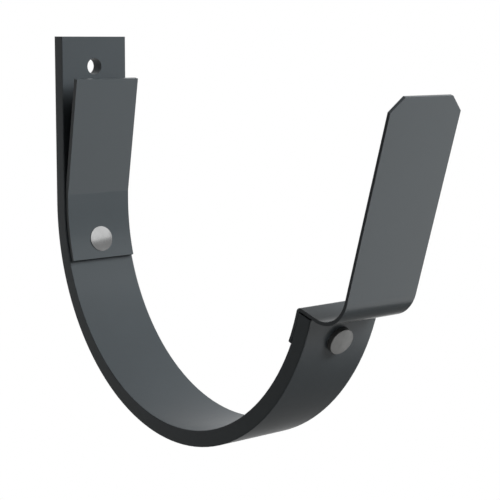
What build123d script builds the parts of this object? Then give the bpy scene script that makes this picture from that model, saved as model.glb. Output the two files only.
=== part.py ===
from build123d import *
import os
from math import cos, radians, sin, tan

# Bracket for a half-round gutter: a flat bar bent into a J, with one sheet clip riveted to
# the inside of the bar at the back and another at the front.
# X is the width and Z is up. The wall is the plane Y = 0, and the bracket reaches out towards
# -Y. The origin is the centre of the screw hole, on the face that lies on the wall.
# Angles named for a place on the arc are measured downwards from the height of its centre.

# Flat bar
bar_width = 25.0
bar_thickness = 5.0
bar_edge_radius = 0.3         # rolled long edges
gutter_radius = 62.5          # outside of the gutter that the bar is bent round
plate_height = 56.0           # straight back plate, above the height of the arc's centre
front_end_angle = 16.0        # where the bar ends at the front

# Screw hole in the back plate
screw_hole_diameter = 5.5
screw_hole_drop = 10.0        # from the plate's top edge to the hole's centre

# Rear clip
rear_sheet = 1.75
rear_side_gap = 0.5           # bar that shows on each side of the clip
rear_foot_angle = 18.2        # how far down the arc the foot reaches
rear_upright_length = 2.9     # straight part above the arc, up to the bend
rear_bend_radius = 2.0        # inside
rear_lean_angle = 9.8         # from upright, away from the wall
rear_leaf_length = 39.3

# Front clip, as wide as the bar
front_sheet = 1.0
front_leg_angle = 24.8        # how far down the arc the leg reaches
front_fold_radius = 0.5       # inside of the fold over the bar's end
front_ledge_length = 6.5      # straight part between the fold and the bend
front_bend_radius = 9.0       # inside of the bend below the flap
front_lean_angle = 16.3       # from upright, away from the wall
front_flap_length = 56.0
front_flap_corner = 4.1       # cut off both top corners

# Both rivets
shank_diameter = 3.2
shank_clearance = 0.1         # on the diameter

# Rear rivet: low crowned head on the clip, flush countersunk end at the wall
rear_rivet_angle = 12.0
rear_head_diameter = 8.5
rear_head_rim = 0.3
rear_head_crown = 0.4
countersink_diameter = 6.4
countersink_angle = 90.0

# Front rivet: flat head outside the bar, small crowned tail on the clip
front_rivet_angle = 22.5
front_head_diameter = 8.0
front_head_height = 1.5
front_head_edge = 0.2         # rounded edge
front_tail_diameter = 4.8
front_tail_rim = 0.3
front_tail_crown = 0.4

outside_radius = gutter_radius + bar_thickness
rear_face_radius = gutter_radius - rear_sheet
front_face_radius = gutter_radius - front_sheet
arc_centre = (0, -outside_radius, screw_hole_drop - plate_height)

# The side view has its origin at the arc's centre, with x towards the wall and y up
side_view = Plane(origin=arc_centre, x_dir=(0, 1, 0), z_dir=(1, 0, 0))


def rear_direction(angle):
    """Side view direction from the arc's centre to a place on the wall side."""
    return Vector(cos(radians(angle)), -sin(radians(angle)))


def front_direction(angle):
    """Side view direction from the arc's centre to a place on the outer side."""
    return Vector(-cos(radians(angle)), -sin(radians(angle)))


def rivet_plane(direction, radius):
    """Plane across a rivet at this radius, whose z axis points outwards."""
    origin = side_view.from_local_coords(direction * radius)
    outwards = origin - side_view.origin
    return Plane(origin=origin, x_dir=(1, 0, 0), z_dir=outwards)


def within(radius):
    """All of the bracket's width within this radius of the arc's centre."""
    return side_view * Cylinder(radius, 2 * bar_width)


def bent_strip(path, width, thickness, edge_radius=0.0):
    """Flat strip bent along the middle of its thickness."""
    path = side_view * path
    start = Plane(origin=path @ 0, x_dir=(1, 0, 0), z_dir=path % 0)
    section = Rectangle(width, thickness)
    if edge_radius:
        section = RectangleRounded(width, thickness, edge_radius)
    return sweep(start * section, path)


def crowned_head(diameter, rim, crown):
    """Low round head that stands below z = 0: a straight rim under a crown."""
    half = diameter / 2
    sphere_radius = (half**2 + crown**2) / (2 * crown)
    ball = Pos(0, 0, sphere_radius - rim - crown) * Sphere(sphere_radius)
    disc = Pos(0, 0, -(rim + crown) / 2) * Cylinder(half, rim + crown)
    return ball & disc


def shank(direction, start_radius, end_radius, diameter):
    """Round bar along a rivet's axis between two distances from the arc's centre."""
    middle = (start_radius + end_radius) / 2
    return rivet_plane(direction, middle) * Cylinder(diameter / 2, end_radius - start_radius)


def rivet_hole(direction):
    """Cutter for the shank, through the bar and the sheet on it."""
    diameter = shank_diameter + shank_clearance
    return shank(direction, rear_face_radius - bar_thickness, outside_radius + bar_thickness, diameter)


def countersink(direction):
    """Cone under the bar's outside, in the bar's recess and on the rivet's end alike."""
    depth = (countersink_diameter - shank_diameter) / 2 / tan(radians(countersink_angle / 2))
    plane = rivet_plane(direction, outside_radius - depth / 2)
    return plane * Cone(shank_diameter / 2, countersink_diameter / 2, depth)


def make_strap():
    middle = gutter_radius + bar_thickness / 2
    plate = Line((middle, plate_height), (middle, 0))
    arc = JernArc(plate @ 1, plate % 1, middle, front_end_angle - 180)
    strap = bent_strip(Wire([plate, arc]), bar_width, bar_thickness, bar_edge_radius)
    strap -= Plane.XZ * Cylinder(screw_hole_diameter / 2, 4 * bar_thickness)
    strap -= rivet_hole(rear_direction(rear_rivet_angle))
    strap -= rivet_hole(front_direction(front_rivet_angle))
    return strap - countersink(rear_direction(rear_rivet_angle))


def make_rear_clip():
    middle = gutter_radius - rear_sheet / 2
    foot_end = rear_direction(rear_foot_angle) * middle
    uphill = Vector(-foot_end.Y, foot_end.X)
    foot = JernArc(foot_end, uphill, middle, rear_foot_angle)
    upright = Line(foot @ 1, foot @ 1 + (0, rear_upright_length))
    bend = JernArc(upright @ 1, upright % 1, rear_bend_radius + rear_sheet / 2, rear_lean_angle)
    leaf = Line(bend @ 1, bend @ 1 + bend % 1 * rear_leaf_length)
    path = Wire([foot, upright, bend, leaf])
    clip = bent_strip(path, bar_width - 2 * rear_side_gap, rear_sheet)
    return clip - rivet_hole(rear_direction(rear_rivet_angle))


def make_front_clip():
    middle = gutter_radius - front_sheet / 2
    leg_end = front_direction(front_leg_angle) * middle
    uphill = Vector(leg_end.Y, -leg_end.X)
    leg = JernArc(leg_end, uphill, middle, front_end_angle - front_leg_angle)
    fold = JernArc(leg @ 1, leg % 1, front_fold_radius + front_sheet / 2, 90)
    ledge = Line(fold @ 1, fold @ 1 + fold % 1 * front_ledge_length)
    bend_angle = 90 + front_end_angle - front_lean_angle
    bend = JernArc(ledge @ 1, ledge % 1, front_bend_radius + front_sheet / 2, -bend_angle)
    flap = Line(bend @ 1, bend @ 1 + bend % 1 * front_flap_length)
    clip = bent_strip(Wire([leg, fold, ledge, bend, flap]), bar_width, front_sheet)
    flap_end = clip.faces().sort_by(Axis.Z)[-1]
    clip = chamfer(flap_end.edges().sort_by(SortBy.LENGTH)[:2], front_flap_corner)
    return clip - rivet_hole(front_direction(front_rivet_angle))


def make_rear_rivet():
    direction = rear_direction(rear_rivet_angle)
    head = crowned_head(rear_head_diameter, rear_head_rim, rear_head_crown)
    head = rivet_plane(direction, rear_face_radius) * head & within(rear_face_radius)
    stem = shank(direction, rear_face_radius - rear_head_rim, outside_radius, shank_diameter)
    return head + (stem + countersink(direction) & within(outside_radius))


def make_front_rivet():
    direction = front_direction(front_rivet_angle)
    tail = crowned_head(front_tail_diameter, front_tail_rim, front_tail_crown)
    tail = rivet_plane(direction, front_face_radius) * tail & within(front_face_radius)
    stem = shank(direction, front_face_radius - front_tail_rim, outside_radius, shank_diameter)
    head = Pos(0, 0, front_head_height / 2) * Cylinder(front_head_diameter / 2, front_head_height)
    head = fillet(head.edges().group_by(Axis.Z)[-1], front_head_edge)
    return tail + stem + rivet_plane(direction, outside_radius) * head


parts = {
    "strap": make_strap(),
    "rear_clip": make_rear_clip(),
    "front_clip": make_front_clip(),
    "rear_rivet": make_rear_rivet(),
    "front_rivet": make_front_rivet(),
}

os.makedirs("parts", exist_ok=True)
for node, shape in parts.items():
    export_step(shape, f"parts/{node}.step")
    print(node, f"{shape.volume:.1f} mm3")
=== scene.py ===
from math import cos, radians, sin

import bmesh
import bpy
from mathutils import Matrix, Vector


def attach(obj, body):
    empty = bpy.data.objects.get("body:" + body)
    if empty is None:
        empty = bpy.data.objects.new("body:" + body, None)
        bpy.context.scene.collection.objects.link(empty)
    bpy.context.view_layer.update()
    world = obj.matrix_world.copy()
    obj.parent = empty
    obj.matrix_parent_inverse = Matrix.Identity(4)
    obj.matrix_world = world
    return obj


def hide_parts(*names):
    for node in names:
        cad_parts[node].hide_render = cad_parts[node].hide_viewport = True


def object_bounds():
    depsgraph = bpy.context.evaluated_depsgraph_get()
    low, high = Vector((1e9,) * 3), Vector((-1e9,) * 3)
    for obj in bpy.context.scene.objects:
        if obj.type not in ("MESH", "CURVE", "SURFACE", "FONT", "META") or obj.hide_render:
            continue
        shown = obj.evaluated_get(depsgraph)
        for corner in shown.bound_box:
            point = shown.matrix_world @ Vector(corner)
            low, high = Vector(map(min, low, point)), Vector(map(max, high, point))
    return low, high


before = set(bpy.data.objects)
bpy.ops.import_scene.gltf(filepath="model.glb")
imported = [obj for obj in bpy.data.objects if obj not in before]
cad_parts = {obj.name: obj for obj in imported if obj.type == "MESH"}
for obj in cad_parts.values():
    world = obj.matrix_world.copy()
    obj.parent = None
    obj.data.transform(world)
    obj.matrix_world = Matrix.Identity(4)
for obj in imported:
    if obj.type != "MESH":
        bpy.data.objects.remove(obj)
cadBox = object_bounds()
print("frame loaded:", ", ".join(sorted(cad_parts)))

mm = 0.001
middle = (cadBox[0] + cadBox[1]) / 2


# Camera, at the photograph's viewing angle
camera = {
    "place": (-244.65, -400.3, 11.1),       # mm
    "azimuth": -38.29,
    "elevation": 7.82,
    "roll": 0.23,
    "focalPixels": 1354.7,
    "frameSide": 500,                       # pixels
    "axisRow": 220,                         # pixel row that the optical axis meets
    "sensorWidth": 36,                      # mm
    "nearest": 0.01,                        # m
    "farthest": 20,
}


def makeCamera(plan):
    data = bpy.data.cameras.new("camera")
    data.sensor_width = plan["sensorWidth"]
    data.lens = plan["focalPixels"] / plan["frameSide"] * plan["sensorWidth"]
    data.shift_y = plan["axisRow"] / plan["frameSide"] - 0.5
    data.clip_start = plan["nearest"]
    data.clip_end = plan["farthest"]
    view = bpy.data.objects.new("camera", data)
    turn = Matrix.Rotation(radians(plan["azimuth"]), 4, "Z")
    turn = turn @ Matrix.Rotation(radians(90 - plan["elevation"]), 4, "X")
    turn = turn @ Matrix.Rotation(radians(plan["roll"]), 4, "Z")
    view.matrix_world = Matrix.Translation(Vector(plan["place"]) * mm) @ turn
    bpy.context.scene.collection.objects.link(view)
    bpy.context.scene.camera = view


makeCamera(camera)
print("camera placed")


# Materials
def fromHex(code):
    # sRGB hex to the linear values that a shader takes
    channels = [int(code[i:i + 2], 16) / 255 for i in (1, 3, 5)]
    linear = [c / 12.92 if c <= 0.04045 else ((c + 0.055) / 1.055) ** 2.4 for c in channels]
    return (*linear, 1.0)


def addNode(tree, kind, settings=None, links=None, values=None):
    # One node with its settings, the outputs linked into it, and its constant inputs
    node = tree.nodes.new(kind)
    for key, value in (settings or {}).items():
        setattr(node, key, value)
    for socket, value in (values or {}).items():
        node.inputs[socket].default_value = value
    for socket, output in (links or {}).items():
        tree.links.new(output, node.inputs[socket])
    return node


def newMaterial(name):
    material = bpy.data.materials.new(name)
    material.use_nodes = True
    tree = material.node_tree
    tree.nodes.clear()
    return material, tree


noiseSpan = (0.3, 0.7)              # where most of a noise node's values lie

# Polyester powder coat, sprayed and baked: a dark satin film with a faint orange peel, which breaks
# up its reflections, and a slow change in gloss. It draws thin on sharp edges, which look paler.
# The bar below it is rolled hot, and its mill surface shows through as long shallow waves.
# A range of roughness that crosses 0.274 leaves faint lines in a denoised render.
coatedBar = {
    "colour": "#4D5255",
    "mottle": "#53595D",            # where the pigment lies a little thinner
    "edgeColour": "#5C6265",
    "roughness": (0.28, 0.35),      # from glossy clouds to dull ones
    "specular": 0.070,              # a satin film mirrors less than a clear one
    "ior": 1.5,
    "peelWidth": 1.6,               # mm from one bump of the orange peel to the next
    "peelDepth": 0.014,             # mm
    "waveWidth": 14.0,              # mm
    "waveDepth": 0.030,             # mm
    "cloudWidth": 35.0,             # mm, slow change in gloss and colour
    "edgeStart": 12.20,             # mm from the middle of the width
    "edgeEnd": 12.50,
}

# The same coat on cold rolled sheet, which is smooth, so it lies flatter and shines a little more
coatedSheetPaintedLighter = {
    # the colours are a shade lighter than the bar's coat: painted light on the flap and the leaf
    "colour": "#4E5457",
    "mottle": "#53595D",
    "edgeColour": "#565C60",
    "roughness": (0.21, 0.27),
    "specular": 0.080,
    "ior": 1.5,
    "peelWidth": 2.2,
    "peelDepth": 0.010,
    "waveWidth": 22.0,
    "waveDepth": 0.012,
    "cloudWidth": 28.0,
    "edgeStart": 12.35,
    "edgeEnd": 12.55,
}


def makePowderCoat(name, plan):
    material, tree = newMaterial(name)
    place = addNode(tree, "ShaderNodeTexCoord")
    spot = place.outputs["Object"]
    peel = addNode(tree, "ShaderNodeTexNoise", links={"Vector": spot},
                   values={"Scale": 1 / (plan["peelWidth"] * mm), "Detail": 2.0, "Roughness": 0.45})
    wave = addNode(tree, "ShaderNodeTexNoise", links={"Vector": spot},
                   values={"Scale": 1 / (plan["waveWidth"] * mm), "Detail": 1.0})
    cloud = addNode(tree, "ShaderNodeTexNoise", links={"Vector": spot},
                    values={"Scale": 1 / (plan["cloudWidth"] * mm), "Detail": 4.0})
    gloss = addNode(tree, "ShaderNodeMapRange", links={"Value": cloud.outputs["Fac"]},
                    values={"From Min": noiseSpan[0], "From Max": noiseSpan[1],
                            "To Min": plan["roughness"][0], "To Max": plan["roughness"][1]})
    film = addNode(tree, "ShaderNodeMix", {"data_type": "RGBA"}, {"Factor": cloud.outputs["Fac"]},
                   {"A": fromHex(plan["colour"]), "B": fromHex(plan["mottle"])})
    axes = addNode(tree, "ShaderNodeSeparateXYZ", links={"Vector": spot})
    across = addNode(tree, "ShaderNodeMath", {"operation": "ABSOLUTE"}, {0: axes.outputs["X"]})
    edge = addNode(tree, "ShaderNodeMapRange", {"interpolation_type": "SMOOTHSTEP"},
                   {"Value": across.outputs[0]},
                   {"From Min": plan["edgeStart"] * mm, "From Max": plan["edgeEnd"] * mm})
    colour = addNode(tree, "ShaderNodeMix", {"data_type": "RGBA"},
                     {"Factor": edge.outputs[0], "A": film.outputs["Result"]},
                     {"B": fromHex(plan["edgeColour"])})
    low = addNode(tree, "ShaderNodeBump", links={"Height": wave.outputs["Fac"]},
                  values={"Strength": 1.0, "Distance": plan["waveDepth"] * mm})
    bump = addNode(tree, "ShaderNodeBump",
                   links={"Height": peel.outputs["Fac"], "Normal": low.outputs["Normal"]},
                   values={"Strength": 1.0, "Distance": plan["peelDepth"] * mm})
    coat = addNode(tree, "ShaderNodeBsdfPrincipled",
                   links={"Base Color": colour.outputs["Result"], "Roughness": gloss.outputs[0],
                          "Normal": bump.outputs["Normal"]},
                   values={"Specular IOR Level": plan["specular"], "IOR": plan["ior"]})
    addNode(tree, "ShaderNodeOutputMaterial", links={"Surface": coat.outputs[0]})
    return material


# Zinc-plated steel, upset cold: the crown is rubbed smooth by its die, a soft grey mirror with a
# fine pressed grain
crownZinc = {
    "colour": "#727272",
    "dull": "#686969",              # where the plating has dulled
    "metallic": 1.0,
    "roughness": (0.18, 0.25),
    "grainWidth": 0.35,             # mm
    "grainDepth": 0.0012,           # mm
    "dullWidth": 2.5,               # mm
}

# The flat head takes the crown's zinc painted darker, as painted shade, so that it mirrors the low
# softbox
# only dimly: an even grey, with only a little of the metal's own mirror left
flatHeadZincPaintedShade = {
    "colour": "#565655",
    "dull": "#505150",
    "metallic": 0.30,
    "roughness": (0.50, 0.58),
    "grainWidth": 0.45,
    "grainDepth": 0.003,
    "dullWidth": 1.8,
}


def makeZinc(name, plan):
    material, tree = newMaterial(name)
    place = addNode(tree, "ShaderNodeTexCoord")
    grain = addNode(tree, "ShaderNodeTexNoise", links={"Vector": place.outputs["Object"]},
                    values={"Scale": 1 / (plan["grainWidth"] * mm), "Detail": 3.0})
    patches = addNode(tree, "ShaderNodeTexNoise", links={"Vector": place.outputs["Object"]},
                      values={"Scale": 1 / (plan["dullWidth"] * mm), "Detail": 3.0})
    colour = addNode(tree, "ShaderNodeMix", {"data_type": "RGBA"},
                     {"Factor": patches.outputs["Fac"]},
                     {"A": fromHex(plan["colour"]), "B": fromHex(plan["dull"])})
    gloss = addNode(tree, "ShaderNodeMapRange", links={"Value": patches.outputs["Fac"]},
                    values={"From Min": noiseSpan[0], "From Max": noiseSpan[1],
                            "To Min": plan["roughness"][0], "To Max": plan["roughness"][1]})
    bump = addNode(tree, "ShaderNodeBump", links={"Height": grain.outputs["Fac"]},
                   values={"Strength": 1.0, "Distance": plan["grainDepth"] * mm})
    metal = addNode(tree, "ShaderNodeBsdfPrincipled",
                    links={"Base Color": colour.outputs["Result"], "Roughness": gloss.outputs[0],
                           "Normal": bump.outputs["Normal"]},
                    values={"Metallic": plan["metallic"]})
    addNode(tree, "ShaderNodeOutputMaterial", links={"Surface": metal.outputs[0]})
    return material


def seenRays(tree):
    # 1 for the rays that show the background: to the camera, and mirrored or through glass
    rays = addNode(tree, "ShaderNodeLightPath")
    seen = addNode(tree, "ShaderNodeMath", {"operation": "MAXIMUM"},
                   {0: rays.outputs["Is Camera Ray"], 1: rays.outputs["Is Glossy Ray"]})
    return addNode(tree, "ShaderNodeMath", {"operation": "MAXIMUM"},
                   {0: seen.outputs[0], 1: rays.outputs["Is Transmission Ray"]})


def dress(node, material):
    # Each CAD node comes with one slot
    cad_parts[node].data.materials[0] = material


barCoat = makePowderCoat("powderCoatOnBar", coatedBar)
sheetCoatPaintedLighter = makePowderCoat("powderCoatOnSheetPaintedLighter", coatedSheetPaintedLighter)
crownMetal = makeZinc("rubbedZincOnSteel", crownZinc)
# The flat head's material is a darker copy of the same zinc: painted shade
flatHeadMetalPaintedShade = makeZinc("zincOnSteelPaintedShade", flatHeadZincPaintedShade)
dress("strap", barCoat)
# the clips take the lighter copy of the coat, which is painted light
dress("rear_clip", sheetCoatPaintedLighter)
dress("front_clip", sheetCoatPaintedLighter)
dress("rear_rivet", crownMetal)
dress("front_rivet", flatHeadMetalPaintedShade)
print("materials on all five pieces")


# Each rivet is a merged copy of its CAD node, so that its crown mirrors the light without a pole
rivetCopies = {
    "mergeDistance": 0.001,         # mm
    "sharpAngle": 30,               # degrees, edges sharper than this stay crisp
}


def makeRivetCopy(node, name, material, plan):
    shape = bmesh.new()
    shape.from_mesh(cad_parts[node].data)
    bmesh.ops.remove_doubles(shape, verts=shape.verts, dist=plan["mergeDistance"] * mm)
    for face in shape.faces:
        face.smooth = True
    for edge in shape.edges:
        edge.smooth = edge.calc_face_angle(0) < radians(plan["sharpAngle"])
    mesh = bpy.data.meshes.new(name)
    shape.to_mesh(mesh)
    shape.free()
    if "custom_normal" in mesh.attributes:
        mesh.attributes.remove(mesh.attributes["custom_normal"])
    mesh.materials.clear()
    mesh.materials.append(material)
    piece = bpy.data.objects.new(name, mesh)
    bpy.context.scene.collection.objects.link(piece)
    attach(piece, "root")
    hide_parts(node)


makeRivetCopy("rear_rivet", "rearRivetSmooth", crownMetal, rivetCopies)
makeRivetCopy("front_rivet", "frontRivetSmooth", flatHeadMetalPaintedShade, rivetCopies)
print("rivets copied and smoothed")


# Floor, well below the bracket, which hangs on a wall. Towards its rim the paper goes over into
# the white of the background, so that no edge shows.
floor = {
    "radius": 2250.0,               # mm
    "segments": 96,
    "drop": 900.0,                  # mm below the bracket's lowest point
    "colour": "#EDEDEA",
    "white": 0.25,                  # how far it has gone over already at the middle
    "fadeStart": 1000.0,            # mm from the middle
    "fadeEnd": 2150.0,
}


def makeFloorPaper(name, plan):
    material, tree = newMaterial(name)
    place = addNode(tree, "ShaderNodeTexCoord")
    centred = addNode(tree, "ShaderNodeMapping", links={"Vector": place.outputs["Object"]},
                      values={"Location": (-middle.x, -middle.y, 0), "Scale": (1, 1, 0)})
    away = addNode(tree, "ShaderNodeVectorMath", {"operation": "LENGTH"}, {0: centred.outputs[0]})
    fade = addNode(tree, "ShaderNodeMapRange", {"interpolation_type": "SMOOTHSTEP"},
                   {"Value": away.outputs["Value"]},
                   {"From Min": plan["fadeStart"] * mm, "From Max": plan["fadeEnd"] * mm,
                    "To Min": plan["white"]})
    share = addNode(tree, "ShaderNodeMath", {"operation": "MULTIPLY"},
                    {0: fade.outputs[0], 1: seenRays(tree).outputs[0]})
    paper = addNode(tree, "ShaderNodeBsdfDiffuse", values={"Color": fromHex(plan["colour"])})
    white = addNode(tree, "ShaderNodeEmission", values={"Strength": 1.0})
    mix = addNode(tree, "ShaderNodeMixShader",
                  links={0: share.outputs[0], 1: paper.outputs[0], 2: white.outputs[0]})
    addNode(tree, "ShaderNodeOutputMaterial", links={"Surface": mix.outputs[0]})
    return material


def makeFloor(plan):
    mesh = bpy.data.meshes.new("floor")
    shape = bmesh.new()
    bmesh.ops.create_circle(shape, cap_ends=True, segments=plan["segments"],
                            radius=plan["radius"] * mm)
    height = cadBox[0].z - plan["drop"] * mm
    bmesh.ops.translate(shape, verts=shape.verts, vec=(middle.x, middle.y, height))
    shape.to_mesh(mesh)
    shape.free()
    piece = bpy.data.objects.new("floor", mesh)
    bpy.context.scene.collection.objects.link(piece)
    mesh.materials.append(makeFloorPaper("matteFloorPaper", plan))


makeFloor(floor)


# Light: each softbox by its direction and distance (m) from the bracket, its size (m), its power
# (W), and whether it lights the surfaces, is mirrored in them, or both
softboxes = [
    {"name": "keySoftbox", "azimuth": 32, "elevation": 25, "distance": 0.70, "size": (0.74, 0.35),
     "power": 2.0, "lights": True, "mirrored": True},
    {"name": "lowSoftbox", "azimuth": 50, "elevation": -28, "distance": 0.70, "size": (0.60, 0.42),
     "power": 2.9, "lights": False, "mirrored": True},
    {"name": "broadSoftbox", "azimuth": 30, "elevation": 42, "distance": 0.70, "size": (0.5, 0.5),
     "power": 4.6, "lights": True, "mirrored": False},
    {"name": "backSoftbox", "azimuth": 165, "elevation": 30, "distance": 0.70, "size": (0.5, 0.5),
     "power": 2.4, "lights": True, "mirrored": False},
]
worldLight = {
    "fill": 0.05,                   # what falls into the shadows
    "background": 1.0,              # white, as seen and as mirrored
}


def makeSoftbox(plan):
    data = bpy.data.lights.new(plan["name"], "AREA")
    data.shape = "RECTANGLE"
    data.size, data.size_y = plan["size"]
    data.energy = plan["power"]
    box = bpy.data.objects.new(plan["name"], data)
    a, e = radians(plan["azimuth"]), radians(plan["elevation"])
    back = Vector((sin(a) * cos(e), -cos(a) * cos(e), sin(e)))
    box.location = middle + back * plan["distance"]
    box.rotation_euler = (-back).to_track_quat("-Z", "Y").to_euler()
    box.visible_diffuse = plan["lights"]
    box.visible_glossy = plan["mirrored"]
    bpy.context.scene.collection.objects.link(box)


def makeWorld(plan):
    world = bpy.data.worlds.new("whiteStudio")
    bpy.context.scene.world = world
    world.use_nodes = True
    tree = world.node_tree
    tree.nodes.clear()
    level = addNode(tree, "ShaderNodeMapRange", links={"Value": seenRays(tree).outputs[0]},
                    values={"To Min": plan["fill"], "To Max": plan["background"]})
    light = addNode(tree, "ShaderNodeBackground", links={"Strength": level.outputs[0]},
                    values={"Color": (1.0, 1.0, 1.0, 1.0)})
    addNode(tree, "ShaderNodeOutputWorld", links={"Surface": light.outputs[0]})


for plan in softboxes:
    makeSoftbox(plan)
makeWorld(worldLight)
bpy.context.scene.view_settings.view_transform = "Standard"
print("stage and light set")
